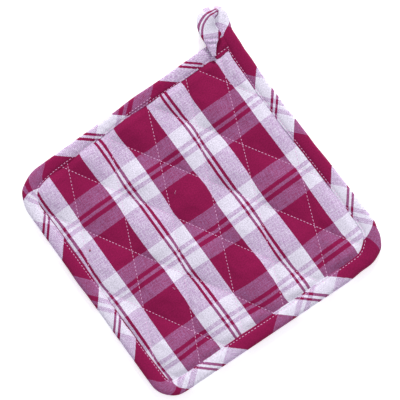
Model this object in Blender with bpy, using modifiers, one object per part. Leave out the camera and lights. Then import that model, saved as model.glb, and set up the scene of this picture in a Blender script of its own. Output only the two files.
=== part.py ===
"""Square quilted pot holder with a bound edge and a hanging loop at one corner.

It lies face up on a table. Metres, +Z up. The origin is on the table under the middle of the
pad. +X runs across the warp stripes and +Y along them. The loop is at the +X +Y corner.

Three pieces of cloth, 0.3 mm apart:
  quilted_pad   two plaid panels and wadding, sewn through along two sets of slanting lines
  edge_binding  a folded bias strip that wraps the pad's edge
  hanging_loop  the end of that strip, folded flat, twisted over and sewn back to the corner
"""
from collections import namedtuple
from math import atan2, cos, pi, radians, sin

import bmesh
import bpy
from mathutils import Vector

MM = 0.001

# ---- the finished edge, mm: sharp corner, and the radius that it is rounded to ------------
Corner = namedtuple("Corner", "name x y radius")
CORNERS = [                   # anticlockwise from above
    Corner("loop", 99.3, 100.2, 2.5),
    Corner("left", -100.6, 99.9, 25.0),
    Corner("near", -100.2, -97.1, 17.0),
    Corner("right", 104.1, -102.8, 26.5),
]
HOLLOW_SIDE = "right"         # the side that starts at this corner is pulled in a little
HOLLOW_DEPTH = 1.7
HOLLOW_SKEW = 1.6             # above 1, the deepest place is nearer to the loop
LEAST_RADIUS = 0.4
ARC_STEPS = 6
SIDE_STEPS = 6

# ---- the quilting, mm: lines at a heading, each at a distance from the origin -------------
Seams = namedtuple("Seams", "normal_deg offsets")
STEEP_SEAMS = Seams(32.0, [-150.0, -114.0, -78.4, -42.1, -7.0, 27.5, 62.1, 99.9, 135.0, 170.0])
SLANT_SEAMS = Seams(-22.5, [-156.0, -121.0, -87.2, -53.2, -19.5, 12.7, 43.9, 80.3, 114.0, 148.0])
CELL_STEPS = 6                # mesh steps between one seam and the next

SEAM_TOP = 5.2                # heights over the table, mm
SEAM_BOTTOM = 1.6
PUFF_TOP = 2.8                # how far a diamond swells above its seams
PUFF_BOTTOM = 2.6             # and below them, until it lies flat on the table
PUFF_FULLNESS = 0.6           # below 1, the diamonds are steep at the seams and flat on top
EDGE_TOP = 4.1                # where the binding presses the pad together
EDGE_BOTTOM = 1.4
EDGE_INSET = 3.4              # the pad's own edge, inside the binding's fold
EDGE_FLAT = 14.0              # the pressed zone's width from the finished edge
EDGE_RISE = 9.0               # and from there to full puff

# ---- the binding, mm ----------------------------------------------------------------------
BINDING_THICK = 1.0           # two layers of cotton on each face
Fold = namedtuple("Fold", "inset height")
BINDING_PROFILE = [           # outer surface, from the top leaf's inner edge to the bottom leaf's
    Fold(11.0, 5.4), Fold(8.5, 6.0), Fold(5.5, 6.3), Fold(2.6, 5.7), Fold(0.7, 4.4),
    Fold(0.0, 3.0),
    Fold(0.7, 1.3), Fold(2.6, 0.3), Fold(5.0, 0.0), Fold(11.0, 0.0),
]

# ---- the hanging loop, mm and degrees -----------------------------------------------------
# Stations along the strip. x, y, z: middle of its width. across: heading from its outer edge
# to its inner edge. tilt: how far the inner edge is raised. width: of the folded strip.
Station = namedtuple("Station", "x y z across tilt width")
LOOP = [
    Station(95.3, 100.9, 3.6, 181, 3, 10.8),      # leaves the corner in line with the edge
    Station(97.2, 105.2, 4.1, 184, 14, 11.6),
    Station(98.7, 110.0, 5.3, 189, 30, 12.2),
    Station(100.2, 113.9, 6.9, 197, 55, 12.2),
    Station(100.7, 118.0, 7.6, 235, 78, 12.2),    # stands on its edge at the crown
    Station(97.9, 119.5, 7.8, 284, 72, 12.2),
    Station(93.9, 119.3, 8.3, 296, 50, 12.4),
    Station(89.8, 117.3, 8.8, 306, 17, 12.8),
    Station(86.2, 113.0, 8.9, 319, 3, 13.4),
    Station(84.5, 108.0, 8.8, 332, -2, 13.4),     # the returning leaf, lying face up
    Station(83.0, 103.4, 8.6, 340, -2, 11.8),
    Station(81.5, 99.2, 8.2, 343, -1, 8.6),       # passes over the binding
    Station(79.2, 95.0, 7.9, 344, 0, 5.6),
    Station(77.5, 91.0, 7.8, 345, 0, 3.4),        # gathered and sewn down
]
LOOP_THICK = 1.9
LOOP_STEPS = 3                # mesh steps between stations
LOOP_ACROSS = 4               # mesh steps across the strip
LOOP_BOW = 0.5                # the strip's middle stands proud of its edges

BURGUNDY = (0.292, 0.010, 0.078, 1.0)
LILAC = (0.645, 0.510, 0.723, 1.0)
WHITE = (0.776, 0.731, 0.871, 1.0)


# ---- outline ------------------------------------------------------------------------------
Bend = namedtuple("Bend", "centre radius inward_before inward_after")


def bend_at(index, inset):
    """The arc that rounds one corner, a distance inside the finished edge."""
    before, here, after = (CORNERS[(index + step) % len(CORNERS)] for step in (-1, 0, 1))
    at = Vector((here.x, here.y))
    along_before = (at - Vector((before.x, before.y))).normalized()
    along_after = (Vector((after.x, after.y)) - at).normalized()
    inward_before = Vector((-along_before.y, along_before.x))
    inward_after = Vector((-along_after.y, along_after.x))
    radius = max(here.radius - inset, LEAST_RADIUS)
    mitre = (inward_before + inward_after) / (1.0 + inward_before.dot(inward_after))
    return Bend(at + mitre * (inset + radius), radius, inward_before, inward_after)


def outline(inset):
    """Points round the edge, anticlockwise, always the same number of them."""
    points = []
    for index, corner in enumerate(CORNERS):
        bend = bend_at(index, inset)
        start = atan2(-bend.inward_before.y, -bend.inward_before.x)
        sweep = (atan2(-bend.inward_after.y, -bend.inward_after.x) - start) % (2.0 * pi)
        for step in range(ARC_STEPS + 1):
            angle = start + sweep * step / ARC_STEPS
            points.append(bend.centre + bend.radius * Vector((cos(angle), sin(angle))))
        following = bend_at((index + 1) % len(CORNERS), inset)
        side_start = points[-1]
        side_end = following.centre - following.radius * following.inward_before
        for step in range(1, SIDE_STEPS):
            part = step / SIDE_STEPS
            point = side_start.lerp(side_end, part)
            if corner.name == HOLLOW_SIDE:
                point = point + bend.inward_after * HOLLOW_DEPTH * sin(pi * part ** HOLLOW_SKEW)
            points.append(point)
    return points


def distance_inside(point):
    """How far a point is inside the finished edge."""
    nearest = 1e9
    for index, corner in enumerate(CORNERS):
        bend = bend_at(index, 0.0)
        outward = point - bend.centre
        nearest = min(nearest, bend.radius - outward.dot(-bend.inward_after))
        past_both = outward.dot(bend.inward_before) < 0.0 and outward.dot(bend.inward_after) < 0.0
        if past_both:
            nearest = min(nearest, bend.radius - outward.length)
    return nearest


# ---- heights of the quilted pad -----------------------------------------------------------
def seam_normal(seams):
    angle = radians(seams.normal_deg)
    return Vector((cos(angle), sin(angle)))


def swell_between(seams, point):
    """0 on a seam line, 1 midway between two of them."""
    offset = point.dot(seam_normal(seams))
    for low, high in zip(seams.offsets, seams.offsets[1:]):
        if low <= offset <= high:
            return max(sin(pi * (offset - low) / (high - low)), 0.0) ** PUFF_FULLNESS
    return 0.0


def smooth_step(value):
    value = min(max(value, 0.0), 1.0)
    return value * value * (3.0 - 2.0 * value)


def pad_heights(point):
    """Height of the pad's underside and of its top, mm."""
    swell = swell_between(STEEP_SEAMS, point) * swell_between(SLANT_SEAMS, point)
    rise = smooth_step((distance_inside(point) - EDGE_FLAT) / EDGE_RISE)
    top = EDGE_TOP + rise * (SEAM_TOP + PUFF_TOP * swell - EDGE_TOP)
    bottom = EDGE_BOTTOM + rise * (SEAM_BOTTOM - PUFF_BOTTOM * swell - EDGE_BOTTOM)
    return max(bottom, 0.0), top


# ---- building helpers ---------------------------------------------------------------------
def cotton(name, color):
    material = bpy.data.materials.new(name)
    material.use_nodes = True
    shader = material.node_tree.nodes["Principled BSDF"]
    shader.inputs["Base Color"].default_value = color
    shader.inputs["Roughness"].default_value = 0.9
    shader.inputs["Metallic"].default_value = 0.0
    return material


def add_object(name, mesh, collection, material=None):
    piece = bpy.data.objects.new(name, mesh)
    collection.objects.link(piece)
    if material:
        mesh.materials.append(material)
    return piece


def skin_between(name, rows, closed):
    """An open surface through rows of points given in mm."""
    shape = bmesh.new()
    grid = [[shape.verts.new(Vector(point) * MM) for point in row] for row in rows]
    for row, following in zip(grid, grid[1:]):
        count = len(row)
        for index in range(count if closed else count - 1):
            beside = (index + 1) % count
            shape.faces.new((row[index], row[beside], following[beside], following[index]))
    mesh = bpy.data.meshes.new(name)
    shape.to_mesh(mesh)
    shape.free()
    return mesh


def thicken(piece, thickness, offset):
    modifier = piece.modifiers.new("Thickness", "SOLIDIFY")
    modifier.thickness = thickness * MM
    modifier.offset = offset
    modifier.use_even_offset = True


# ---- the three pieces ---------------------------------------------------------------------
def seam_lattice():
    """A flat grid whose lines run along the quilting, in metres."""
    across = CELL_STEPS * (len(STEEP_SEAMS.offsets) - 1)
    along = CELL_STEPS * (len(SLANT_SEAMS.offsets) - 1)
    shape = bmesh.new()
    bmesh.ops.create_grid(shape, x_segments=across, y_segments=along, size=0.5)
    steep, slant = seam_normal(STEEP_SEAMS), seam_normal(SLANT_SEAMS)
    turn = steep.x * slant.y - steep.y * slant.x
    for vert in shape.verts:
        first = seam_position(STEEP_SEAMS, (vert.co.x + 0.5) * across / CELL_STEPS)
        second = seam_position(SLANT_SEAMS, (vert.co.y + 0.5) * along / CELL_STEPS)
        vert.co.x = (first * slant.y - second * steep.y) / turn * MM
        vert.co.y = (second * steep.x - first * slant.x) / turn * MM
    return shape


def seam_position(seams, count):
    """The offset that is a number of cells from the first seam."""
    cell = min(int(count + 1e-6), len(seams.offsets) - 2)
    part = count - cell
    return seams.offsets[cell] * (1.0 - part) + seams.offsets[cell + 1] * part


def quilted_pad(collection, cutters):
    slab_half = 5.0 * MM
    shape = seam_lattice()
    for vert in shape.verts:
        vert.co.z = -slab_half
    raised = bmesh.ops.extrude_face_region(shape, geom=shape.faces[:])
    for item in raised["geom"]:
        if isinstance(item, bmesh.types.BMVert):
            item.co.z = slab_half
    bmesh.ops.recalc_face_normals(shape, faces=shape.faces[:])
    mesh = bpy.data.meshes.new("slab")
    shape.to_mesh(mesh)
    shape.free()
    slab = add_object("slab", mesh, cutters)

    cutter = add_object("pad_outline", outline_prism(EDGE_INSET, 2.0 * slab_half), cutters)
    cut = slab.modifiers.new("Outline", "BOOLEAN")
    cut.operation = "INTERSECT"
    cut.object = cutter
    bpy.context.view_layer.update()
    trimmed = bpy.data.meshes.new_from_object(slab.evaluated_get(bpy.context.evaluated_depsgraph_get()))
    bpy.data.objects.remove(slab)

    shape = bmesh.new()
    shape.from_mesh(trimmed)
    for vert in shape.verts:
        bottom, top = pad_heights(Vector((vert.co.x, vert.co.y)) / MM)
        vert.co.z = (top if vert.co.z > 0.0 else bottom) * MM
    bmesh.ops.triangulate(shape, faces=shape.faces[:])
    shape.to_mesh(trimmed)
    shape.free()
    trimmed.name = "quilted_pad"
    trimmed.materials.clear()
    pad = add_object("quilted_pad", trimmed, collection, cotton("plaid_cotton", BURGUNDY))
    trimmed.shade_smooth()
    return pad


def outline_prism(inset, half_height):
    """A solid with upright walls on the outline, for cutting."""
    shape = bmesh.new()
    ring = [shape.verts.new((point.x * MM, point.y * MM, -half_height)) for point in outline(inset)]
    floor = shape.faces.new(ring)
    raised = bmesh.ops.extrude_face_region(shape, geom=[floor])
    for item in raised["geom"]:
        if isinstance(item, bmesh.types.BMVert):
            item.co.z = half_height
    bmesh.ops.recalc_face_normals(shape, faces=shape.faces[:])
    mesh = bpy.data.meshes.new("outline_prism")
    shape.to_mesh(mesh)
    shape.free()
    return mesh


def edge_binding(collection):
    rings = []
    for fold in BINDING_PROFILE:
        rings.append([(point.x, point.y, fold.height) for point in outline(fold.inset)])
    mesh = skin_between("edge_binding", rings, closed=True)
    mesh.flip_normals()
    binding = add_object("edge_binding", mesh, collection, cotton("bias_plaid_cotton", LILAC))
    thicken(binding, BINDING_THICK, -1.0)
    mesh.shade_smooth()
    return binding


def loop_stations():
    """The loop's stations with smooth ones between them."""
    smooth = []
    last = len(LOOP) - 1
    for index in range(last):
        p0, p1, p2, p3 = (LOOP[min(max(index + step, 0), last)] for step in (-1, 0, 1, 2))
        for step in range(LOOP_STEPS):
            t = step / LOOP_STEPS
            smooth.append(Station(*(
                0.5 * (2.0 * b + (c - a) * t + (2.0 * a - 5.0 * b + 4.0 * c - d) * t ** 2
                       + (3.0 * b - a - 3.0 * c + d) * t ** 3)
                for a, b, c, d in zip(p0, p1, p2, p3))))
    return smooth + [LOOP[last]]


def hanging_loop(collection):
    rows = []
    for station in loop_stations():
        across, tilt = radians(station.across), radians(station.tilt)
        sideways = Vector((cos(across) * cos(tilt), sin(across) * cos(tilt), sin(tilt)))
        upward = Vector((-cos(across) * sin(tilt), -sin(across) * sin(tilt), cos(tilt)))
        middle = Vector((station.x, station.y, station.z))
        row = []
        for step in range(LOOP_ACROSS + 1):
            part = step / LOOP_ACROSS - 0.5
            bow = LOOP_BOW * (0.5 - 4.0 * part * part) * station.width / LOOP[0].width
            row.append(middle + sideways * part * station.width + upward * bow)
        rows.append(row)
    mesh = skin_between("hanging_loop", rows, closed=False)
    mesh.flip_normals()
    loop = add_object("hanging_loop", mesh, collection, cotton("loop_plaid_cotton", WHITE))
    thicken(loop, LOOP_THICK, 0.0)
    mesh.shade_smooth()
    return loop


def main():
    for leftover in list(bpy.data.objects):
        bpy.data.objects.remove(leftover)
    collection = bpy.data.collections.new("pot_holder")
    cutters = bpy.data.collections.new("cutters")
    for group in (collection, cutters):
        bpy.context.scene.collection.children.link(group)
    quilted_pad(collection, cutters)
    edge_binding(collection)
    hanging_loop(collection)
    for cutter in cutters.objects:
        cutter.hide_render = True
        cutter.display_type = "WIRE"


main()
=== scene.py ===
import math
import random

import bpy
import numpy as np
from mathutils import Matrix, Vector
from mathutils.bvhtree import BVHTree
from mathutils.noise import noise


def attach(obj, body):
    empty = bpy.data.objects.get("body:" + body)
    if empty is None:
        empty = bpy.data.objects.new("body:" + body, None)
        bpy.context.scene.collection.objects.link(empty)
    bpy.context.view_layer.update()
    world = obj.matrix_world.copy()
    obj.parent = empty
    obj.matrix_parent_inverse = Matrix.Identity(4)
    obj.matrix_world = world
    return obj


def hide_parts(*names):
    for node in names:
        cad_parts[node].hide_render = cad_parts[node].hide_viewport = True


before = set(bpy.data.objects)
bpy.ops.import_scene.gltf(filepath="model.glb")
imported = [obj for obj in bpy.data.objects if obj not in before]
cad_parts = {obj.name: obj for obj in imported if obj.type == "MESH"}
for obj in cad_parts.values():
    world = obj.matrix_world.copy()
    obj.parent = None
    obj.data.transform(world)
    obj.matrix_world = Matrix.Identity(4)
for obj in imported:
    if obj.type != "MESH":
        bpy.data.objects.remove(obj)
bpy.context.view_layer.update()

# Quilted plaid pot holder. Lengths below are in mm, and meshes are made in metres.
# +X runs across the warp stripes, +Y along them, and the loop is at the +X +Y corner.
mm = 0.001


def srgb(hexColour):
    # "#RRGGBB" to the linear colour that shaders use
    parts = [int(hexColour[i:i + 2], 16) / 255.0 for i in (1, 3, 5)]
    linear = [p / 12.92 if p <= 0.04045 else ((p + 0.055) / 1.055) ** 2.4 for p in parts]
    return (*linear, 1.0)


def addNode(tree, kind, inputs=None, **settings):
    # adds one node; an input is a value or another node's socket
    node = tree.nodes.new(kind)
    for name, value in settings.items():
        setattr(node, name, value)
    for name, value in (inputs or {}).items():
        if isinstance(value, bpy.types.NodeSocket):
            tree.links.new(value, node.inputs[name])
        else:
            node.inputs[name].default_value = value
    return node


def fillRamp(node, stops, interpolation="LINEAR"):
    # stops: (position, grey or colour), first to last
    ramp = node.color_ramp
    ramp.interpolation = interpolation
    while len(ramp.elements) > 1:
        ramp.elements.remove(ramp.elements[-1])
    for index, (position, colour) in enumerate(stops):
        element = ramp.elements[0] if index == 0 else ramp.elements.new(position)
        element.position = position
        element.color = colour if isinstance(colour, tuple) else (colour, colour, colour, 1.0)


def newMaterial(name):
    material = bpy.data.materials.new(name)
    material.use_nodes = True
    return material, material.node_tree, material.node_tree.nodes["Principled BSDF"]


def meshObject(name, points, faces, material, clothCoords=None, smooth=True):
    # points in mm; clothCoords are each point's place on the flat cloth in mm, kept as a UV map
    mesh = bpy.data.meshes.new(name)
    mesh.from_pydata((np.asarray(points, float) * mm).tolist(), [], faces)
    if clothCoords is not None:
        layer = mesh.uv_layers.new(name="clothMm")
        corners = np.zeros(len(mesh.loops), np.int32)
        mesh.loops.foreach_get("vertex_index", corners)
        layer.data.foreach_set("uv", np.asarray(clothCoords, np.float32)[corners].ravel())
    mesh.materials.append(material)
    mesh.validate()
    if smooth:
        mesh.shade_smooth()
    piece = bpy.data.objects.new(name, mesh)
    bpy.context.scene.collection.objects.link(piece)
    return piece


def applyModifiers(piece):
    # what the modifiers make becomes the piece's own mesh
    graph = bpy.context.evaluated_depsgraph_get()
    mesh = bpy.data.meshes.new_from_object(piece.evaluated_get(graph), depsgraph=graph)
    old = piece.data
    piece.modifiers.clear()
    piece.data = mesh
    bpy.data.meshes.remove(old)


def smoothStep(value):
    value = np.clip(value, 0.0, 1.0)
    return value * value * (3.0 - 2.0 * value)


def waver(place, size, seed):
    # soft unevenness from -1 to 1 over a length of about size mm
    return noise(Vector((place[0] / size, place[1] / size, seed * 7.31)))


edge = {
    # sharp corners in mm and the radius each is rounded to, anticlockwise from the loop
    "corners": ((99.3, 100.2, 0.0), (-100.6, 99.9, 25.0), (-100.2, -97.1, 17.0), (104.1, -102.8, 26.5)),
    "hollowDepth": 1.7,      # the side that ends at the loop is pulled in a little
    "hollowSkew": 1.6,
    "step": 1.1,             # mesh spacing along the edge
    "cornerReach": 30.0,     # this near the sharp corner, a place lies inside both its sides
}

strip = {
    "clothThick": 0.45,
    "layerGap": 0.5,          # from one folded layer to the next
    "turnedUnder": 7.0,       # how far each raw edge is folded in
    "middleHeight": 3.15,     # over the table, round the pad
    "climb": 1.6,             # cloth taken up by the round of the outer fold
    # The tape is cut on the bias: its warp stripes slope one way and its weft stripes the other.
    # Each pair is mm round the edge and mm of cloth. They are uneven because the tape stretches on
    # the sides and eases round the corners. A wide burgundy warp stripe begins at every 60.7 mm of
    # cloth, and a white weft stripe at every 60.4 mm.
    "warpMarks": ((-20, -57.0), (21.5, -31.6), (40.5, -18.6), (64.5, 0), (107.5, 29.1), (130.5, 42.1),
                  (159, 60.7), (202, 89.8), (230, 102.8), (254.8, 121.4), (319, 163.5), (345.8, 182.1),
                  (424, 224.2), (451.8, 242.8), (515, 284.9), (544.8, 303.5), (622, 345.6),
                  (648.6, 364.2), (712.6, 406.3), (739.8, 424.9), (779.3, 454.0), (815.3, 467.8),
                  (820.6, 471.8), (860, 495.0)),
    "weftMarks": ((-60, -45.0), (-30, -29.5), (70.5, 0), (120, 30.9), (168, 60.4), (269.3, 120.8),
                  (320, 151.7), (363, 181.2), (430, 212.1), (474.5, 241.6), (527.5, 272.5),
                  (575.5, 302.0), (628.7, 332.9), (678, 362.4), (730, 393.3), (774, 422.8),
                  (817.6, 453.7), (860, 480.0)),
    # how the cloth turns in the tape where the tape bends into the loop: mm round the edge, share
    "skew": ((26, -1.1), (32, 0.0), (757, 0.0), (775, -0.3), (785, 0.0), (798, 0.7), (812, 0.95),
             (860, 1.0)),
    # the stretched tape has narrowed, so its stripes slope more steeply across it
    "narrowing": ((745, 1.2), (765, 1.0)),
    # short folds across the returning leaf: mm round the edge, height in mm, half length
    "creases": ((820.5, -0.55, 1.0), (822.6, 0.40, 0.8), (824.8, -0.50, 0.9), (827.0, 0.30, 0.8)),
    # how wide its face shows, mm round the edge and mm
    "widths": ((0, 12.5), (21, 12.4), (27, 10.4), (50, 10.2), (65, 9.9), (105, 8.9), (125, 9.3),
               (165, 10.4), (176, 11.6), (185, 12.0), (194, 10.5), (204, 10.5), (215, 9.9), (235, 10.7),
               (255, 10.8), (345, 10.7), (375, 12.0), (405, 11.0), (450, 11.8), (500, 12.0),
               (540, 12.4), (575, 13.2), (600, 11.8), (640, 11.0), (775, 11.0)),
    # how far in the topstitching runs
    "stitchLine": ((0, 8.9), (30, 9.4), (60, 9.3), (105, 8.1), (130, 8.7), (165, 9.3), (178, 10.5),
                   (190, 9.6), (200, 8.9), (215, 8.8), (250, 9.5), (330, 9.8), (380, 10.9), (405, 10.2),
                   (445, 10.4), (480, 9.9), (535, 11.0), (575, 11.9), (600, 10.6), (640, 9.9),
                   (775, 9.9)),
    # where the finished edge bellies out or is pulled in: mm round the edge, mm inward, mm long
    "pulls": ((88, -0.7, 22), (196, -0.9, 9), (275, -0.45, 14), (382, 0.8, 16), (556, 1.3, 15),
              (577, -0.7, 7), (592, 0.8, 7), (668, 0.35, 12), (704, 0.4, 8), (748, -0.35, 12)),
    "pullReach": 0.6,         # the share of its length where a pull is strong
    "start": 1.5,             # the tape's first end, under its last stretch
    "pressedTo": 14.0,        # it is pressed thinner up to here, and less and less over as much again
    "pressedShare": 0.14,
    "leaveEdge": 757.0,       # from here the loop's stations take over
    "cornerReach": 24.0,      # this near the loop's corner, the bindings of both its sides cover the pad
    "climbReach": 3.0,        # the cloth near the outer fold that its round takes up
    "narrowingAt": 5.0,       # the line along the tape that stays where it is as the tape narrows
    "puckers": ((0.20, 4.2), (0.13, 2.2)),   # depth and length of the coarse and the fine ones
    "puckerLean": 0.8,
    "creaseLean": 0.25,
    "loopWave": (0.16, 6.0),  # depth and length of the loop's soft waves
    "bumpEase": (2.5, 1.0),   # the puckers fade towards the outer fold and the inner edge over this
    "undersideShare": 0.3,    # of each pucker shows on the underside, the other way round
    "loopSteps": 9,           # mesh steps from one of the loop's stations to the next
    "loopLip": 0.9,           # share of the loop's width before its thin lip
}


def edgePath():
    # walks the edge from the loop corner round to it again: places, inward directions, lengths
    corners = [np.array(c[:2]) for c in edge["corners"]]
    radii = [c[2] for c in edge["corners"]]
    headings = []
    for index, corner in enumerate(corners):
        along = corners[(index + 1) % 4] - corner
        headings.append(along / np.linalg.norm(along))
    places, inwards = [], []
    for index in range(4):
        after = (index + 1) % 4
        heading, nextHeading = headings[index], headings[after]
        inward = np.array((-heading[1], heading[0]))
        nextInward = np.array((-nextHeading[1], nextHeading[0]))

        def reach(at):
            turn = math.acos(np.clip(headings[at - 1] @ headings[at], -1.0, 1.0))
            return radii[at] * math.tan(turn / 2.0)

        start = corners[index] + heading * reach(index)
        end = corners[after] - heading * reach(after)
        count = int(np.linalg.norm(end - start) / edge["step"])
        for step in range(count):
            part = step / count
            place = start + (end - start) * part
            if index == 3:
                hollow = math.sin(math.pi * part ** edge["hollowSkew"])
                place = place + inward * edge["hollowDepth"] * hollow
            places.append(place)
            inwards.append(inward)
        if radii[after] > 0.0:
            centre = end + inward * radii[after]
            first = math.atan2(-inward[1], -inward[0])
            sweep = (math.atan2(-nextInward[1], -nextInward[0]) - first) % (2.0 * math.pi)
            count = int(radii[after] * sweep / edge["step"])
            for step in range(count):
                angle = first + sweep * step / count
                outward = np.array((math.cos(angle), math.sin(angle)))
                places.append(centre + radii[after] * outward)
                inwards.append(-outward)
    places, inwards = np.array(places), np.array(inwards)
    lengths = np.concatenate(([0.0], np.cumsum(np.linalg.norm(np.diff(places, axis=0), axis=1))))
    return places, inwards, lengths


edgePlaces, edgeInwards, edgeLengths = edgePath()
loopCorner = np.array(edge["corners"][0][:2])


def distanceInside(points):
    # how far each point is inside the finished edge, and the outward direction there
    nearest = np.zeros(len(points))
    outward = np.zeros((len(points), 2))
    batch = 4000             # points at a time, so that the table of gaps stays small
    for first in range(0, len(points), batch):
        chunk = points[first:first + batch]
        gaps = np.linalg.norm(chunk[:, None, :] - edgePlaces[None, :, :], axis=2)
        close = gaps.argmin(axis=1)
        inward = edgeInwards[close]
        nearest[first:first + batch] = ((chunk - edgePlaces[close]) * inward).sum(axis=1)
        outward[first:first + batch] = -inward
    # the sharp corner at the loop belongs to two sides
    fromCorner = points - loopCorner
    nearCorner = np.linalg.norm(fromCorner, axis=1) < edge["cornerReach"]
    for inward in (edgeInwards[0], edgeInwards[-1]):
        sideGap = (fromCorner * inward).sum(axis=1)
        nearest = np.where(nearCorner, np.minimum(nearest, sideGap), nearest)
    return nearest, outward


def alongEdge(name, length):
    # one of the strip's settings at a length round the edge
    places, values = zip(*strip[name])
    return np.interp(length, places, values)


def pastBinding(points):
    # mm from the binding's inner edge, positive on the open pad; every third place is near enough
    gaps = np.linalg.norm(points[:, None, :] - edgePlaces[None, ::3, :], axis=2)
    length = edgeLengths[::3][gaps.argmin(axis=1)]
    past = distanceInside(points)[0] - alongEdge("widths", length)
    fromCorner = points - loopCorner
    nearCorner = np.linalg.norm(fromCorner, axis=1) < strip["cornerReach"]
    for end in (0, -1):
        width = strip["widths"][end][1]
        sideGap = fromCorner @ edgeInwards[end] - width
        past = np.where(nearCorner, np.minimum(past, sideGap), past)
    return past


plaid = {
    # woven cotton, dyed in the yarn: a warp that shows more than the weft, mm
    "warpRepeat": 60.7,
    "warpBurgundy": ((0.0, 29.1), (41.8, 43.8), (45.7, 47.7)),
    "warpStart": -12.2,       # where a wide burgundy warp stripe begins on the pad
    "weftRepeat": 60.4,
    "weftBurgundy": ((10.3, 13.6), (15.9, 19.1), (30.9, 60.4)),
    "weftStart": 31.9,        # where a white weft stripe begins on the pad
    "warpEase": 1.0033,       # the quilting draws the pad's cloth in a little one way
    "weftEase": 0.992,        # and lets it out the other way
    "warpThread": 0.62,       # thread spacing; real cotton has 0.4, too fine to show
    "weftThread": 0.70,
    "burgundyWarp": "#871345",
    "whiteWarp": "#E2DCE9",
    "burgundyOnBurgundy": "#871348",
    "whiteOnBurgundy": "#A171A0",
    "burgundyOnWhite": "#A270A8",
    "whiteOnWhite": "#D8D2E0",
    "edgeFray": 0.16,         # how far a stripe's edge strays, mm
    "frayScale": 1.3,
    "slubStretch": ((1.9, 0.13, 1.0), (0.11, 1.7, 1.0)),   # long along the warp, then along the weft
    "heather": (1.25, 1.8, -0.4),   # how fine, how strong, and the offset that keeps its mean at a half
    "weftOver": 0.38,         # how much the weave itself decides which yarn shows
    "paintedYarnShade": (1.15, 0.36),  # painted shade and light of the rolling yarns: how fine and how strong
    "weaveDepth": 0.09,
    "bumpStrength": 0.45,
    "slubRelief": 0.8,
    "roughness": (0.82, 0.97),
}


def stripeStops(bands, repeat):
    # 0 where the yarn is burgundy and 1 where it is white
    stops = [] if bands[0][0] == 0.0 else [(0.0, 1.0)]
    for low, high in bands:
        stops.append((low / repeat, 0.0))
        if high < repeat:
            stops.append((high / repeat, 1.0))
    return stops


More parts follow.
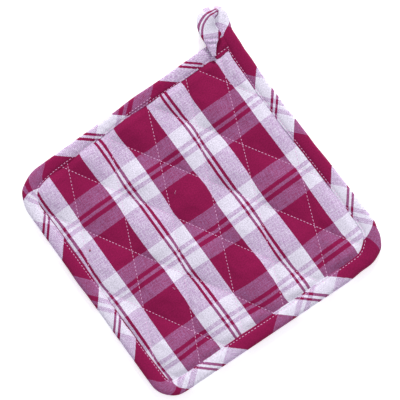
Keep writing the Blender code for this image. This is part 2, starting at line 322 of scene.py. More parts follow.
def plaidCotton():
    # Yarn-dyed plain-weave cotton. To the eye: matt, a fine heather where the two colours cross,
    # slubs that run along the yarns, and a soft fuzz that lightens it at grazing angles.
    material, tree, shader = newMaterial("plaidCotton")
    cloth = addNode(tree, "ShaderNodeUVMap", uv_map="clothMm")
    fray = addNode(tree, "ShaderNodeTexNoise",
                   {"Vector": cloth.outputs["UV"], "Scale": plaid["frayScale"], "Detail": 2.0})
    stray = addNode(tree, "ShaderNodeVectorMath", {0: fray.outputs["Color"], 1: (0.5, 0.5, 0.5)},
                    operation="SUBTRACT")
    reach = (4.0 * plaid["edgeFray"],) * 3      # the noise seldom goes past a quarter either way
    strayed = addNode(tree, "ShaderNodeVectorMath",
                      {0: stray.outputs["Vector"], 1: reach, 2: cloth.outputs["UV"]},
                      operation="MULTIPLY_ADD")
    split = addNode(tree, "ShaderNodeSeparateXYZ", {0: strayed.outputs["Vector"]})

    isWhite = {}
    for name, axis, repeat, bands in (("warp", "X", plaid["warpRepeat"], plaid["warpBurgundy"]),
                                      ("weft", "Y", plaid["weftRepeat"], plaid["weftBurgundy"])):
        turns = addNode(tree, "ShaderNodeMath", {0: split.outputs[axis], 1: repeat}, operation="DIVIDE")
        place = addNode(tree, "ShaderNodeMath", {0: turns.outputs[0], 1: 1.0}, operation="FLOORED_MODULO")
        ramp = addNode(tree, "ShaderNodeValToRGB", {"Fac": place.outputs[0]})
        fillRamp(ramp, stripeStops(bands, repeat), "CONSTANT")
        isWhite[name] = ramp.outputs["Color"]

    # the weave: warp and weft threads take turns on top
    flat = addNode(tree, "ShaderNodeSeparateXYZ", {0: cloth.outputs["UV"]})
    waves = []
    for axis, spacing in (("X", plaid["warpThread"]), ("Y", plaid["weftThread"])):
        phase = addNode(tree, "ShaderNodeMath", {0: flat.outputs[axis], 1: math.pi / spacing},
                        operation="MULTIPLY")
        waves.append(addNode(tree, "ShaderNodeMath", {0: phase.outputs[0]}, operation="SINE"))
    over = addNode(tree, "ShaderNodeMath", {0: waves[0].outputs[0], 1: waves[1].outputs[0]},
                   operation="MULTIPLY")

    # slubs: thick and thin places, long along each yarn
    slubs = []
    for stretch in plaid["slubStretch"]:
        along = addNode(tree, "ShaderNodeVectorMath", {0: cloth.outputs["UV"], 1: stretch},
                        operation="MULTIPLY")
        slubs.append(addNode(tree, "ShaderNodeTexNoise",
                             {"Vector": along.outputs["Vector"], "Scale": 1.0, "Detail": 3.0,
                              "Roughness": 0.65}))
    slub = addNode(tree, "ShaderNodeMath", {0: slubs[1].outputs["Fac"], 1: slubs[0].outputs["Fac"]},
                   operation="SUBTRACT")
    fineness, strength, offset = plaid["heather"]
    heather = addNode(tree, "ShaderNodeTexNoise",
                      {"Vector": cloth.outputs["UV"], "Scale": fineness, "Detail": 3.0, "Roughness": 0.75})
    mottle = addNode(tree, "ShaderNodeMath", {0: heather.outputs["Fac"], 1: strength, 2: offset},
                     operation="MULTIPLY_ADD")
    slubbed = addNode(tree, "ShaderNodeMath", {0: slub.outputs[0], 1: 1.0, 2: mottle.outputs[0]},
                      operation="MULTIPLY_ADD")
    weftShows = addNode(tree, "ShaderNodeMath",
                        {0: over.outputs[0], 1: plaid["weftOver"], 2: slubbed.outputs[0]},
                        operation="MULTIPLY_ADD", use_clamp=True)

    def mix(factor, first, second):
        # a colour mix node has several sockets of each name, so they are found by number
        node = addNode(tree, "ShaderNodeMix", data_type="RGBA")
        for socket, value in ((node.inputs[0], factor), (node.inputs[6], first), (node.inputs[7], second)):
            if isinstance(value, bpy.types.NodeSocket):
                tree.links.new(value, socket)
            else:
                socket.default_value = value
        return node.outputs[2]

    warpTone = mix(isWhite["warp"], srgb(plaid["burgundyWarp"]), srgb(plaid["whiteWarp"]))
    onBurgundy = mix(isWhite["weft"], srgb(plaid["burgundyOnBurgundy"]), srgb(plaid["whiteOnBurgundy"]))
    onWhite = mix(isWhite["weft"], srgb(plaid["burgundyOnWhite"]), srgb(plaid["whiteOnWhite"]))
    weftTone = mix(isWhite["warp"], onBurgundy, onWhite)
    woven = mix(weftShows.outputs[0], warpTone, weftTone)
    # painted shade and light: each yarn rolls and shades a little, painted in as a speckle of darker and
    # lighter that shows even on the plain blocks
    fineness, strength = plaid["paintedYarnShade"]
    yarnShadeNoise = addNode(tree, "ShaderNodeTexNoise",
                    {"Vector": cloth.outputs["UV"], "Scale": fineness, "Detail": 3.0, "Roughness": 0.7})
    shade = addNode(tree, "ShaderNodeMapRange",
                    {"Value": yarnShadeNoise.outputs["Fac"], "From Min": 0.25, "From Max": 0.75,
                     "To Min": 1.0 - strength, "To Max": 1.0 + strength})
    shaded = addNode(tree, "ShaderNodeVectorMath", {0: woven, "Scale": shade.outputs["Result"]},
                     operation="SCALE")
    tree.links.new(shaded.outputs["Vector"], shader.inputs["Base Color"])

    relief = addNode(tree, "ShaderNodeMath",
                     {0: slubbed.outputs[0], 1: plaid["slubRelief"], 2: over.outputs[0]},
                     operation="MULTIPLY_ADD")
    bump = addNode(tree, "ShaderNodeBump",
                   {"Height": relief.outputs[0], "Strength": plaid["bumpStrength"],
                    "Distance": plaid["weaveDepth"] * mm})
    tree.links.new(bump.outputs["Normal"], shader.inputs["Normal"])
    smoothest, roughest = plaid["roughness"]
    rough = addNode(tree, "ShaderNodeMapRange",
                    {"Value": slubbed.outputs[0], "To Min": smoothest, "To Max": roughest})
    tree.links.new(rough.outputs["Result"], shader.inputs["Roughness"])
    shader.inputs["IOR"].default_value = 1.46
    shader.inputs["Specular IOR Level"].default_value = 0.12
    shader.inputs["Sheen Weight"].default_value = 0.03
    shader.inputs["Sheen Roughness"].default_value = 0.5
    return material


cotton = {
    "white": "#F6C2EA",
    "burgundy": "#B4245E",
    "shadowShare": 0.82,      # how dark it is between the plies
    "twistScale": 2200.0,     # to a metre
    "twistDepth": 0.06,       # mm
    "twistStrength": 0.4,
}

paper = {
    "grainScale": 900.0,      # to the floor's width
    "tone": (0.965, 0.985),
    "glow": 0.4,              # a little light of its own keeps it an even white
}


def sewingThread(name, colour):
    # Mercerised sewing cotton. To the eye: smoother and glossier than the cloth, two plies twisted.
    material, tree, shader = newMaterial(name)
    place = addNode(tree, "ShaderNodeTexCoord")
    ply = addNode(tree, "ShaderNodeTexNoise",
                  {"Vector": place.outputs["Object"], "Scale": cotton["twistScale"], "Detail": 1.0})
    tone = addNode(tree, "ShaderNodeValToRGB", {"Fac": ply.outputs["Fac"]})
    light = srgb(colour)
    shadow = (*(c * cotton["shadowShare"] for c in light[:3]), 1.0)
    fillRamp(tone, [(0.3, shadow), (0.7, light)])
    tree.links.new(tone.outputs["Color"], shader.inputs["Base Color"])
    bump = addNode(tree, "ShaderNodeBump",
                   {"Height": ply.outputs["Fac"], "Strength": cotton["twistStrength"],
                    "Distance": cotton["twistDepth"] * mm})
    tree.links.new(bump.outputs["Normal"], shader.inputs["Normal"])
    shader.inputs["Roughness"].default_value = 0.55
    shader.inputs["Sheen Weight"].default_value = 0.15
    return material


def whitePaper():
    # Matt white paper for the floor. To the eye: even and without gloss.
    material, tree, shader = newMaterial("mattWhitePaper")
    grain = addNode(tree, "ShaderNodeTexNoise", {"Scale": paper["grainScale"], "Detail": 3.0})
    darkest, lightest = paper["tone"]
    tone = addNode(tree, "ShaderNodeMapRange",
                   {"Value": grain.outputs["Fac"], "To Min": darkest, "To Max": lightest})
    tree.links.new(tone.outputs["Result"], shader.inputs["Base Color"])
    shader.inputs["Roughness"].default_value = 0.95
    shader.inputs["Specular IOR Level"].default_value = 0.1
    shader.inputs["Emission Color"].default_value = (1.0, 1.0, 1.0, 1.0)
    shader.inputs["Emission Strength"].default_value = paper["glow"]
    return material


clothMaterial = plaidCotton()
whiteThread = sewingThread("mercerisedCottonThread", cotton["white"])
burgundyLint = sewingThread("burgundyCottonLint", cotton["burgundy"])
print("materials made")


pad = {
    # two sets of quilting rows: the heading across each, and each row's place, lean and bow, as
    # mm across, mm across per mm along, and mm across per square mm along
    "firstRows": (32.0, ((-150, 0, 0), (-114, 0.03, 0), (-77.6, 0.035, 0), (-42.0, 0.02, 0),
                         (-6.7, 0.027, 0), (27.6, 0.006, 0), (62.2, 0, 0), (99.9, 0, 0), (135, 0, 0),
                         (170, 0, 0))),
    "crossRows": (-22.5, ((-156, 0, 0), (-121, 0.02, 0), (-87.2, 0.02, 0), (-53.8, 0.027, 0),
                          (-19.9, 0.0224, -0.00017), (12.35, 0.007, 0), (43.7, -0.0214, 0),
                          (80.3, -0.022, 0), (114, -0.02, 0), (148, -0.02, 0))),
    "cellSteps": 26,          # mesh steps from one seam to the next
    "edgeInset": 3.6,         # the pad's own edge, inside the binding's fold
    "sidePull": 0.6,          # the bindings on two sides pull the cloth a little
    "lipOverlap": 3.2,        # the pad begins to rise this far under the binding
    "riseWidth": 9.0,         # and reaches its full height over this much
    "grip": 2.0,              # this far under the binding the cloth no longer moves
    "seamTop": 5.0,
    "seamBottom": 1.7,
    "edgeTop": 4.3,
    "edgeBottom": 1.5,
    "puffTop": 3.0,
    "puffBottom": 1.7,
    "fullness": 0.72,         # below 1, steep at the seams and flat on top
    "puffVariety": 0.2,       # how much the diamonds differ
    "plump": ((-46.0, -36.0, 0.35, 17.0),),   # x, y, extra share and reach: one well-filled diamond
    "broadWave": (0.25, 60.0),   # height and length of the top's broad unevenness
    "pressure": 2.5,
    "slack": 0.012,           # the panels are this much longer than the space between the seams
    "frames": 18,
    "furthest": 1.2,          # the cap on how far the wadding may push a point, mm
    "kept": 0.42,             # share of its push that is kept
    "takeUp": 0.5,            # cloth drawn into each row of quilting from either side, mm
    "topLimit": 8.9,
    # the cloth was cut a little off its grain: how far the stripes stray, mm
    "warpShift": 0.25,
    "warpLean": 0.0101,
    "warpFan": 0.000108,
    "weftDrop": 1.05,
    "weftDropGrowth": 0.0095,
    "weftDropAt": -13.0,
    "weftDropWidth": 14.0,
    "weftRise": 0.7,
    "localStray": (0.5, 38.0),   # how far and over what length
    # where the pull of the -X and of the +X binding begins, and its reach
    "sideReach": ((62.0, 20.0), (66.0, 9.0)),
}


def across(degrees):
    # the direction across a set of rows, and the direction along it
    normal = np.array((math.cos(math.radians(degrees)), math.sin(math.radians(degrees))))
    return normal, np.array((-normal[1], normal[0]))


def padLattice():
    # points on a grid whose lines run along the quilting
    steps = pad["cellSteps"]
    (firstHeading, firstRows), (crossHeading, crossRows) = pad["firstRows"], pad["crossRows"]
    (first, alongFirst), (cross, alongCross) = across(firstHeading), across(crossHeading)
    shapes = []
    for rows in (firstRows, crossRows):
        index = np.arange(steps * (len(rows) - 1) + 1) / steps
        shapes.append([np.interp(index, np.arange(len(rows)), values) for values in zip(*rows)])
    grids = [np.meshgrid(a, b, indexing="ij") for a, b in zip(*shapes)]
    turn = first[0] * cross[1] - first[1] * cross[0]
    places = np.zeros(grids[0][0].shape + (2,))
    for _ in range(4):       # the rows lean and bow, so their crossings are found in a few rounds
        offsets = []
        for which, along in enumerate((alongFirst, alongCross)):
            run = places @ along
            offsets.append(grids[0][which] + grids[1][which] * run + grids[2][which] * run ** 2)
        places = np.stack(((offsets[0] * cross[1] - offsets[1] * first[1]) / turn,
                           (offsets[1] * first[0] - offsets[0] * cross[0]) / turn), axis=2)
    return places


def padSurface():
    steps = pad["cellSteps"]
    places = padLattice()
    rows, columns = places.shape[:2]
    flat = places.reshape(-1, 2)
    inside, outward = distanceInside(flat)
    keepPoint = (inside > pad["edgeInset"]).reshape(rows, columns)
    keepCell = keepPoint[:-1, :-1] & keepPoint[1:, :-1] & keepPoint[:-1, 1:] & keepPoint[1:, 1:]
    number = np.arange(rows * columns).reshape(rows, columns)
    quads = np.stack((number[:-1, :-1][keepCell], number[1:, :-1][keepCell],
                      number[1:, 1:][keepCell], number[:-1, 1:][keepCell]), axis=1)
    used, faces = np.unique(quads, return_inverse=True)
    faces = faces.reshape(-1, 4)
    points, inside, outward = flat[used], inside[used], outward[used]

    # each cell's swell, 0 on its seams, and its own fullness
    row, column = used // columns, used % columns
    swell = np.ones(len(used))
    for index in (row, column):
        swell = swell * np.sin(math.pi * (index % steps) / steps).clip(0.0) ** pad["fullness"]
    dice = random.Random(5)
    cellRows, cellColumns = rows // steps + 1, columns // steps + 1
    variety = np.array([[1.0 + pad["puffVariety"] * dice.uniform(-1.0, 1.0) for _ in range(cellColumns)]
                        for _ in range(cellRows)])
    swell = swell * variety[row // steps, column // steps]
    for x, y, extra, reach in pad["plump"]:
        swell *= 1.0 + extra * np.exp(-((points[:, 0] - x) ** 2 + (points[:, 1] - y) ** 2) / reach ** 2)
    onSeam = (row % steps == 0) | (column % steps == 0)
    # how far the cloth is drawn from each panel's middle towards its seams
    drawn = np.zeros((len(used), 2))
    for index, degrees in ((row, pad["firstRows"][0]), (column, pad["crossRows"][0])):
        part = (index % steps) / steps
        pull = np.cos(math.pi * part) * smoothStep(np.minimum(part, 1.0 - part) * steps / 2.0)
        drawn += pad["takeUp"] * pull[:, None] * across(degrees)[0]
    return points, faces, inside, outward, swell, onSeam, drawn


def edgesUsedOnce(faces):
    sides = np.concatenate([faces[:, [i, (i + 1) % 4]] for i in range(4)])
    _, where, counts = np.unique(np.sort(sides, axis=1), axis=0, return_index=True, return_counts=True)
    return sides[where[counts == 1]]


def clothCoordsOf(points):
    # a place on the pad to a place on the flat panel, in mm from the start of both repeats
    x, y = points[:, 0], points[:, 1]
    strayX = -pad["warpLean"] * y - pad["warpFan"] * x * y - pad["warpShift"]
    (lowFrom, lowReach), (highFrom, highReach) = pad["sideReach"]
    sides = smoothStep((-x - lowFrom) / lowReach) + smoothStep((x - highFrom) / highReach)
    strayX = strayX + pad["sidePull"] * sides
    drop = pad["weftDrop"] - pad["weftDropGrowth"] * y
    strayY = pad["weftRise"] - drop * np.tanh((x - pad["weftDropAt"]) / pad["weftDropWidth"])
    strayed, size = pad["localStray"]
    local = strayed * np.array([(waver(p, size, 1), waver(p, size, 2)) for p in points])
    return np.stack((plaid["warpEase"] * (x - strayX - plaid["warpStart"]) + local[:, 0],
                     plaid["weftEase"] * (y - strayY - plaid["weftStart"]) + local[:, 1]), axis=1)


def buildPad():
    points, faces, inside, outward, swell, onSeam, drawn = padSurface()
    rim = edgesUsedOnce(faces)
    rimPoints = np.unique(rim)
    # the cut edge is trimmed to the finished edge's shape
    points[rimPoints] += outward[rimPoints] * (inside[rimPoints] - pad["edgeInset"])[:, None]
    past = pastBinding(points)
    rise = smoothStep((past + pad["lipOverlap"]) / pad["riseWidth"])
    waveHeight, waveLength = pad["broadWave"]
    broad = waveHeight * np.array([waver(p, waveLength, 3) for p in points])
    top = pad["edgeTop"] + rise * (pad["seamTop"] + pad["puffTop"] * swell + broad - pad["edgeTop"])
    bottom = pad["edgeBottom"] + rise * (pad["seamBottom"] - pad["puffBottom"] * swell - pad["edgeBottom"])
    count = len(points)
    allPoints = np.concatenate((np.column_stack((points, top)), np.column_stack((points, bottom))))
    allFaces = faces.tolist() + (faces[:, ::-1] + count).tolist()
    allFaces += [(b, a, a + count, b + count) for a, b in rim.tolist()]
    coords = clothCoordsOf(points) + drawn * rise[:, None]
    piece = meshObject("quiltedPad", allPoints, allFaces, clothMaterial, np.concatenate((coords, coords)))

    held = np.maximum(smoothStep(-past / pad["grip"]), onSeam)
    pushOut(piece, np.concatenate((held, held)))
    settled = np.zeros(len(piece.data.vertices) * 3)
    piece.data.vertices.foreach_get("co", settled)
    settled = settled.reshape(-1, 3)
    settled[:, 2] = settled[:, 2].clip(0.0, pad["topLimit"] * mm)   # flat where it lies on the table
    piece.data.vertices.foreach_set("co", settled.ravel())
    piece.data.update()
    return piece


def pushOut(piece, held):
    # the wadding pushes the slack panels out between the seams, by cloth simulation
    start = np.zeros(len(piece.data.vertices) * 3)
    piece.data.vertices.foreach_get("co", start)
    group = piece.vertex_groups.new(name="held")
    levels = held.round(2)
    for level in np.unique(levels):
        if level > 0.0:
            group.add(np.flatnonzero(levels == level).tolist(), float(level), "REPLACE")
    cloth = piece.modifiers.new("Wadding", "CLOTH")
    settings = cloth.settings
    settings.quality = 6
    settings.mass = 0.2
    settings.tension_stiffness = settings.compression_stiffness = 18.0
    settings.shear_stiffness = 6.0
    settings.bending_stiffness = 2.0
    settings.vertex_group_mass = "held"
    settings.pin_stiffness = 5.0
    settings.use_pressure = True
    settings.uniform_pressure_force = pad["pressure"]
    settings.shrink_min = -pad["slack"]
    settings.effector_weights.gravity = 0.0
    cloth.collision_settings.use_collision = False
    scene = bpy.context.scene
    cloth.point_cache.frame_start, cloth.point_cache.frame_end = 1, pad["frames"]
    for frameNumber in range(1, pad["frames"] + 1):
        scene.frame_set(frameNumber)
    applyModifiers(piece)
    scene.frame_set(1)
    end = np.zeros(len(start))
    piece.data.vertices.foreach_get("co", end)
    moved = (end - start).reshape(-1, 3)
    far = np.linalg.norm(moved, axis=1, keepdims=True)
    limit = pad["furthest"] * mm
    mean, most = (round(float(value / mm), 2) for value in (far.mean(), far.max()))
    print("wadding moved the cloth by", mean, "mm on average and by", most, "mm at most")
    moved *= pad["kept"] * np.minimum(1.0, limit / np.maximum(far, 1e-9))
    piece.data.vertices.foreach_set("co", start + moved.ravel())
    piece.data.update()


quiltedPad = buildPad()
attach(quiltedPad, "root")
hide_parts("quilted_pad")
print("quilted pad made:", len(quiltedPad.data.polygons), "faces")

# The edge strip is the binding and, where it runs on, the hanging loop.
# Stations where the tape runs off the corner and forms the loop, in mm and degrees.
# x, y, z: middle of its width. heading: from its outer to its inner edge. tilt: rise that way.
# closed: 0 where it wraps the pad's edge, 1 where it is pressed flat.
loopStations = (
    # x, y, z, heading, tilt, width, closed
    (94.4, 88.0, 3.35, 181, 0, 10.2, 0.0),
    (94.6, 94.5, 3.40, 181, 0, 10.3, 0.0),
    (94.7, 100.2, 3.50, 181, 2, 11.0, 0.35),
    (95.9, 105.2, 4.00, 184, 9, 12.8, 0.9),
    (96.8, 109.6, 4.7, 189, 15, 14.4, 1.0),
    (97.2, 113.0, 5.4, 199, 20, 14.5, 1.0),
    (99.2, 115.9, 6.6, 214, 50, 13.2, 1.0),
    (100.0, 117.4, 7.3, 235, 68, 12.6, 1.0),      # it stands on its edge at the crown
    (98.0, 119.2, 7.9, 284, 60, 13.0, 1.0),
    (94.4, 118.9, 8.6, 296, 40, 14.2, 1.0),
    (89.9, 117.7, 9.1, 306, 24, 13.4, 1.0),
    (86.1, 113.1, 9.2, 319, 8, 13.5, 1.0),
    (84.9, 108.0, 8.9, 332, 0, 14.4, 1.0),        # the returning leaf, face up
    (84.4, 103.3, 8.6, 341, -2, 14.0, 1.0),
    (81.3, 99.0, 8.3, 343, -1, 8.2, 1.0),         # over the binding
    (79.2, 94.8, 8.1, 344, 0, 5.0, 1.0),
    (77.5, 90.7, 7.8, 345, 0, 2.4, 1.0),          # gathered and sewn down
)


def splineThrough(rows, steps):
    # a smooth curve through every row of numbers
    rows = np.asarray(rows, float)
    smooth = []
    last = len(rows) - 1
    for index in range(last):
        a, b, c, d = (rows[min(max(index + step, 0), last)] for step in (-1, 0, 1, 2))
        for step in range(steps):
            t = step / steps
            smooth.append(0.5 * (2.0 * b + (c - a) * t + (2.0 * a - 5.0 * b + 4.0 * c - d) * t ** 2
                                 + (3.0 * b - a - 3.0 * c + d) * t ** 3))
    smooth.append(rows[last])
    return np.array(smooth)


def edgeFrame(length):
    # the finished edge's place and inward direction at a length round it
    place = np.array([np.interp(length, edgeLengths, edgePlaces[:, axis]) for axis in (0, 1)])
    inward = np.array([np.interp(length, edgeLengths, edgeInwards[:, axis]) for axis in (0, 1)])
    inward /= np.linalg.norm(inward)
    pull = sum(depth * math.exp(-((length - at) / (strip["pullReach"] * reach)) ** 2)
               for at, depth, reach in strip["pulls"])
    return place + inward * pull, inward, pull


def tapeStations():
    # one row each: the middle, the sideways and the upward direction (x, y, z for each), then
    # width, closed, length, squeeze and how far in the stitches are
    rows = []
    length = strip["start"]
    while length <= strip["leaveEdge"]:
        place, inward, pull = edgeFrame(length)
        width = alongEdge("widths", length) - pull
        middle = place + inward * width / 2.0
        squeeze = 1.0 - smoothStep((length - strip["pressedTo"]) / strip["pressedTo"])
        rows.append((*middle, strip["middleHeight"], *inward, 0.0, 0.0, 0.0, 1.0, width, 0.0, length,
                     float(squeeze), alongEdge("stitchLine", length) - pull))
        length += edge["step"]
    length = rows[-1][11]
    last = np.array(rows[-1][:3])
    for x, y, z, heading, tilt, width, closed in splineThrough(loopStations, strip["loopSteps"]):
        heading, tilt = math.radians(heading), math.radians(tilt)
        sideways = (math.cos(heading) * math.cos(tilt), math.sin(heading) * math.cos(tilt), math.sin(tilt))
        upward = (-math.cos(heading) * math.sin(tilt), -math.sin(heading) * math.sin(tilt), math.cos(tilt))
        middle = np.array((x, y, z))
        length += float(np.linalg.norm(middle - last))
        last = middle
        rows.append((x, y, z, *sideways, *upward, width, closed, length, 0.0, width * strip["loopLip"]))
    return np.array(rows)


def leafShape(width, stitch, closed, isTop):
    # the outer layer of one leaf from the outer fold to the inner edge: inset, height over the middle
    parts = np.array((0.0, 0.009, 0.035, 0.085, 0.16, 0.27, 0.40, 0.55, 0.70, 0.82, 0.91, 0.965, 1.0))
    lip = np.array((0.35, 0.7)) * (width - stitch)
    inset = np.concatenate((parts * stitch, stitch + lip))
    if isTop:
        wrapped = (0.0, 0.62, 1.32, 2.05, 2.58, 2.84, 2.94, 2.95, 2.86, 2.66, 2.36, 2.02, 1.80, 1.84, 1.88)
    else:
        wrapped = (0.0, 0.60, 1.25, 1.95, 2.50, 2.82, 2.92, 2.92, 2.92, 2.92, 2.80, 2.62, 2.52, 2.62, 2.74)
    pressedAt = (0.0, 0.01, 0.035, 0.08, 0.15, 1.0)
    pressed = np.interp(inset / width, pressedAt, (0.0, 0.20, 0.42, 0.60, 0.72, 0.74))
    return inset, np.array(wrapped) * (1.0 - closed) + pressed * closed


def tapeSection(width, stitch, closed, squeeze):
    # the folded tape cut across: inset and height of its one layer, from raw edge to raw edge
    gap = strip["layerGap"]
    halves = []
    for isTop, sign in ((True, 1.0), (False, -1.0)):
        inset, height = leafShape(width, stitch, closed, isTop)
        height = height * (1.0 - strip["pressedShare"] * squeeze)
        under = np.linspace(max(width - strip["turnedUnder"], 0.28 * width), width * 0.95, 7)
        underHeight = np.interp(under, inset, height) - gap
        turn = height[-1] - gap / 2.0
        bend = [(width - 0.16, turn - gap * 0.42), (width, turn), (width - 0.12, turn + gap * 0.42)]
        half = list(zip(under, underHeight)) + bend + list(zip(inset[::-1], height[::-1]))
        halves.append([(t, sign * h) for t, h in half])
    top, bottom = halves
    return top + bottom[-2::-1]


def stripBump(length, inset, closed):
    # creases and puckers of the tape's face, mm; they slope with the bias
    slope = length + strip["puckerLean"] * inset
    (coarse, coarseSize), (fine, fineSize) = strip["puckers"]
    pucker = coarse * waver((slope, 3.0), coarseSize, 11) + fine * waver((slope, 9.0), fineSize, 12)
    leaning = length - strip["creaseLean"] * inset
    folds = sum(depth * math.exp(-((leaning - at) / reach) ** 2) for at, depth, reach in strip["creases"])
    wave, waveSize = strip["loopWave"]
    return pucker + wave * closed * waver((length, inset), waveSize, 13) + folds


def buildStrip():
    stations = tapeStations()
    points, coords = [], []
    for row in stations:
        middle, sideways, upward = row[:3], row[3:6], row[6:9]
        width, closed, length, squeeze, stitch = row[9:14]
        section = tapeSection(width, stitch, closed, squeeze)
        gaps = [math.dist(a, b) for a, b in zip(section[1:], section)]
        sums = np.concatenate(([0.0], np.cumsum(gaps)))
        onCloth = sums[len(sums) // 2] - sums      # mm from the outer fold, positive on the top face
        nearFold = smoothStep(np.abs(onCloth) / strip["climbReach"])
        onCloth -= strip["climb"] * (1.0 - closed) * np.sign(onCloth) * nearFold
        foldEase, lipEase = strip["bumpEase"]
        for inset, height in section:
            fade = float(smoothStep(inset / foldEase) * smoothStep((width - inset) / lipEase))
            lift = stripBump(length, inset, closed) * fade
            lift = lift if height > 0.0 else -strip["undersideShare"] * lift
            points.append(middle + sideways * (inset - width / 2.0) + upward * (height + lift))
        turned = length + alongEdge("skew", length) * onCloth
        spread = alongEdge("narrowing", length)
        onCloth = spread * (onCloth - strip["narrowingAt"]) + strip["narrowingAt"]
        coords.append(np.stack((alongEdge("warpMarks", turned + onCloth),
                                alongEdge("weftMarks", turned - onCloth)), axis=1))
    wide = len(section)
    faces = []
    for row in range(len(stations) - 1):
        for column in range(wide - 1):
            a = row * wide + column
            faces.append((a, a + wide, a + wide + 1, a + 1))
    piece = meshObject("edgeStrip", points, faces, clothMaterial, np.concatenate(coords))
    thick = piece.modifiers.new("Cloth", "SOLIDIFY")
    thick.thickness = strip["clothThick"] * mm
    thick.offset = 0.0
    applyModifiers(piece)
    return piece, stations


edgeStrip, stripStations = buildStrip()
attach(edgeStrip, "root")
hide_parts("edge_binding", "hanging_loop")
print("edge strip made:", len(edgeStrip.data.polygons), "faces, tape", round(stripStations[-1][11]), "mm")


sewing = {
    "pitch": 2.6,             # from one stitch to the next, mm
    "shows": 1.85,            # of each stitch, between its needle holes
    "threadRadius": 0.195,
    "unevenness": 0.07,
    "stands": 0.09,           # how far the thread's middle is over the cloth
    "sinks": 0.34,            # how far its ends go in
    "sewnRows": (2, 8),       # the rows that cross the pad, of those that shape its corners too
    "rowHalf": 190.0,         # each row's line runs this far either way, and is kept only on the pad
    "rowEnd": 0.4,            # how near the binding a row's last stitch may be
    "secondRow": (76.0, 101.0, 6.9),   # sewn over again where the thread ran out: from, to, inset
    "tailBar": ((91.2, 90.4), (84.0, 90.6), (76.2, 90.5)),   # it holds the loop's tail
    "sides": 6,               # of a thread's round
    "overhead": 50.0,         # the cloth is looked for from this far over or under the table
}


def treeOf(*pieces):
    points, faces = [], []
    for piece in pieces:
        start = len(points)
        points.extend(vertex.co.copy() for vertex in piece.data.vertices)
        faces.extend([start + index for index in polygon.vertices] for polygon in piece.data.polygons)
    return BVHTree.FromPolygons(points, faces)


class Sewing:
    # collects stitches on the cloth that a ray from above or below meets
    def __init__(self, tree, fromAbove, seed):
        self.tree, self.sign = tree, 1.0 if fromAbove else -1.0
        self.dice = random.Random(seed)
        self.points, self.faces = [], []

    def surface(self, place):
        start = Vector((place[0] * mm, place[1] * mm, self.sign * sewing["overhead"] * mm))
        hit = self.tree.ray_cast(start, Vector((0.0, 0.0, -self.sign)))[0]
        return None if hit is None else hit.z / mm

    def stitch(self, middle, heading):
        half = sewing["shows"] / 2.0 * (1.0 + self.dice.uniform(-1.0, 1.0) * sewing["unevenness"] * 2.0)
        turn = self.dice.uniform(-1.0, 1.0) * sewing["unevenness"]
        heading = np.array((heading[0] - turn * heading[1], heading[1] + turn * heading[0]))
        side = np.array((-heading[1], heading[0], 0.0))
        first = len(self.points)
        # along the stitch, height over the cloth in mm, share of the thread's radius
        rings = ((-1.0, -sewing["sinks"], 0.55), (-0.62, 0.02, 0.95), (0.0, sewing["stands"], 1.0),
                 (0.62, 0.02, 0.95), (1.0, -sewing["sinks"], 0.55))
        count = sewing["sides"]
        for part, lift, thick in rings:
            place = middle + heading * half * part
            level = self.surface(place)
            if level is None:
                del self.points[first:]
                return
            centre = np.array((*place, level + self.sign * lift))
            for index in range(count):
                angle = 2.0 * math.pi * index / count
                radius = sewing["threadRadius"] * thick
                self.points.append(centre + side * radius * math.cos(angle)
                                   + np.array((0.0, 0.0, radius * math.sin(angle))))
        for ring in range(len(rings) - 1):
            for index in range(count):
                a = first + ring * count + index
                b = first + ring * count + (index + 1) % count
                self.faces.append((a, a + count, b + count, b))
        last = first + (len(rings) - 1) * count
        self.faces.append(tuple(range(first, first + count)))
        self.faces.append(tuple(last + index for index in reversed(range(count))))

    def row(self, path, keep=None):
        # stitches evenly along a line of places
        path = np.asarray(path, float)
        lengths = np.concatenate(([0.0], np.cumsum(np.linalg.norm(np.diff(path, axis=0), axis=1))))
        at = sewing["pitch"] * self.dice.uniform(0.4, 0.9)
        while at < lengths[-1] - 1.0:
            middle = np.array([np.interp(at, lengths, path[:, axis]) for axis in (0, 1)])
            ahead = np.array([np.interp(at + 0.5, lengths, path[:, axis]) for axis in (0, 1)])
            behind = np.array([np.interp(at - 0.5, lengths, path[:, axis]) for axis in (0, 1)])
            if keep is None or keep(middle):
                self.stitch(middle, (ahead - behind) / np.linalg.norm(ahead - behind))
            at += sewing["pitch"] * (1.0 + self.dice.uniform(-1.0, 1.0) * sewing["unevenness"])

    def piece(self, name):
        thread = meshObject(name, self.points, self.faces, whiteThread)
        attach(thread, "root")
        return thread


def quiltRow(degrees, offset, lean, bow):
    # one row right across the pad
    normal, along = across(degrees)
    runs = np.arange(-sewing["rowHalf"], sewing["rowHalf"], 2.0)
    return [normal * (offset + lean * run + bow * run ** 2) + along * run for run in runs]


def clearOfBinding(place):
    return pastBinding(np.array([place]))[0] > sewing["rowEnd"]


def edgeRow(first, last, inset=None):
    # a row round the edge, on the topstitching's line or at an inset of its own
    path = []
    for length in np.arange(first, last, 1.0):
        place, inward, pull = edgeFrame(length)
        deep = alongEdge("stitchLine", length) if inset is None else inset
        path.append(place + inward * (deep - pull))
    return path


# A fleck of burgundy lint and two snagged threads, as cloth that has been handled has:
# each one's radius in mm, its material and the line it lies along.
loose = {
    "lintFleck": (0.3, burgundyLint,
                  ((-80.4, 27.2), (-79.9, 27.9), (-79.2, 28.2), (-78.9, 27.6), (-79.6, 27.2))),
    "snagNear": (0.11, whiteThread, ((-45.9, -29.6), (-45.3, -30.4), (-45.1, -31.5), (-44.4, -31.9))),
    "snagMiddle": (0.11, whiteThread, ((-4.6, 25.2), (-4.0, 26.2), (-3.0, 26.5), (-2.6, 27.3))),
}


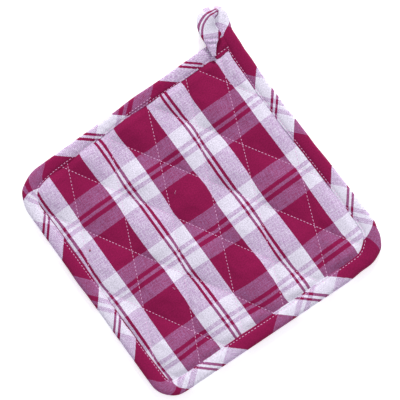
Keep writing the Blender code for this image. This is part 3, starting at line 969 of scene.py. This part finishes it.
def looseEnds():
    # each stands a little off the cloth in its middle and thins out at its ends
    tree = treeOf(quiltedPad)
    down = Vector((0.0, 0.0, -1.0))
    sides = sewing["sides"]
    for label, (radius, material, path) in loose.items():
        line = splineThrough(path, 6)
        points, faces = [], []
        for index, place in enumerate(line):
            start = Vector((place[0] * mm, place[1] * mm, sewing["overhead"] * mm))
            hit = tree.ray_cast(start, down)[0]
            share = index / (len(line) - 1)
            lift = radius * 0.4 + 0.35 * math.sin(math.pi * share)
            ahead = line[min(index + 1, len(line) - 1)] - line[max(index - 1, 0)]
            ahead = ahead / np.linalg.norm(ahead)
            thick = radius * (0.35 + 0.65 * math.sin(math.pi * min(max(share, 0.06), 0.94)))
            for side in range(sides):
                angle = 2.0 * math.pi * side / sides
                points.append((place[0] - ahead[1] * thick * math.cos(angle),
                               place[1] + ahead[0] * thick * math.cos(angle),
                               hit.z / mm + lift + thick * math.sin(angle)))
            if index:
                ring = (index - 1) * sides
                for side in range(sides):
                    after = (side + 1) % sides
                    faces.append((ring + side, ring + sides + side, ring + sides + after, ring + after))
        last = len(points) - sides
        faces += [tuple(range(sides)), tuple(last + side for side in reversed(range(sides)))]
        piece = meshObject(label, points, faces, material)
        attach(piece, "root")


for fromAbove, label in ((True, "Top"), (False, "Underside")):
    quilting = Sewing(treeOf(quiltedPad), fromAbove, 21 + fromAbove)
    for degrees, rows in (pad["firstRows"], pad["crossRows"]):
        for shape in rows[slice(*sewing["sewnRows"])]:
            quilting.row(quiltRow(degrees, *shape), clearOfBinding)
    quilting.piece("quiltStitches" + label)

    binding = Sewing(treeOf(quiltedPad, edgeStrip), fromAbove, 31 + fromAbove)
    binding.row(edgeRow(23.0, 766.0))
    if fromAbove:
        binding.row(edgeRow(*sewing["secondRow"]))
        binding.row(sewing["tailBar"])
    binding.piece("edgeStitches" + label)
looseEnds()
print("sewing done")


studio = {
    "aim": (7.9, 11.0),       # mm, the view's middle
    "viewWidth": 294.0,       # mm
    "distance": 1000.0,
    "padMiddle": 5.0,         # the height that the distance is measured from
    "sensor": 36.0,
    "up": (0.5807, 0.8141),   # the square lies turned, with its loop at the top of the view
    "floorHalf": 900.0,
    "floorHeight": -0.15,
    "sky": ("#F6F6FF", 0.58),
    # each sun's direction to the right, up the view and over the table, its spread and its strength
    "suns": (("keyLight", (0.0, 1.0, 0.52), 0.24, 2.9),
             ("fillLight", (0.7, -0.4, 1.3), 0.5, 0.4)),
}


def buildStudio():
    scene = bpy.context.scene
    up = Vector((*studio["up"], 0.0)).normalized()
    right = up.cross(Vector((0.0, 0.0, 1.0)))
    camera = bpy.data.objects.new("camera", bpy.data.cameras.new("camera"))
    scene.collection.objects.link(camera)
    camera.data.sensor_width = studio["sensor"]
    camera.data.lens = studio["sensor"] * studio["distance"] / studio["viewWidth"]
    turned = Matrix((right, up, Vector((0.0, 0.0, 1.0)))).transposed().to_4x4()
    height = studio["distance"] + studio["padMiddle"]
    place = (studio["aim"][0] * mm, studio["aim"][1] * mm, height * mm)
    camera.matrix_world = Matrix.Translation(place) @ turned
    scene.camera = camera

    half, level = studio["floorHalf"], studio["floorHeight"]
    corners = [(-half, -half, level), (half, -half, level), (half, half, level), (-half, half, level)]
    floor = meshObject("floor", corners, [(0, 1, 2, 3)], whitePaper(), smooth=False)

    world = bpy.data.worlds.new("studio")
    world.use_nodes = True
    background = world.node_tree.nodes["Background"]
    skyColour, skyStrength = studio["sky"]
    background.inputs["Color"].default_value = srgb(skyColour)
    background.inputs["Strength"].default_value = skyStrength
    scene.world = world
    for name, towards, spread, strength in studio["suns"]:
        light = bpy.data.lights.new(name, "SUN")
        light.angle = spread
        light.energy = strength
        lamp = bpy.data.objects.new(name, light)
        towards = towards[0] * right + towards[1] * up + Vector((0.0, 0.0, towards[2]))
        lamp.rotation_euler = towards.to_track_quat("Z", "Y").to_euler()
        scene.collection.objects.link(lamp)
    scene.view_settings.view_transform = "Standard"
    scene.view_settings.look = "None"


buildStudio()
print("studio ready")
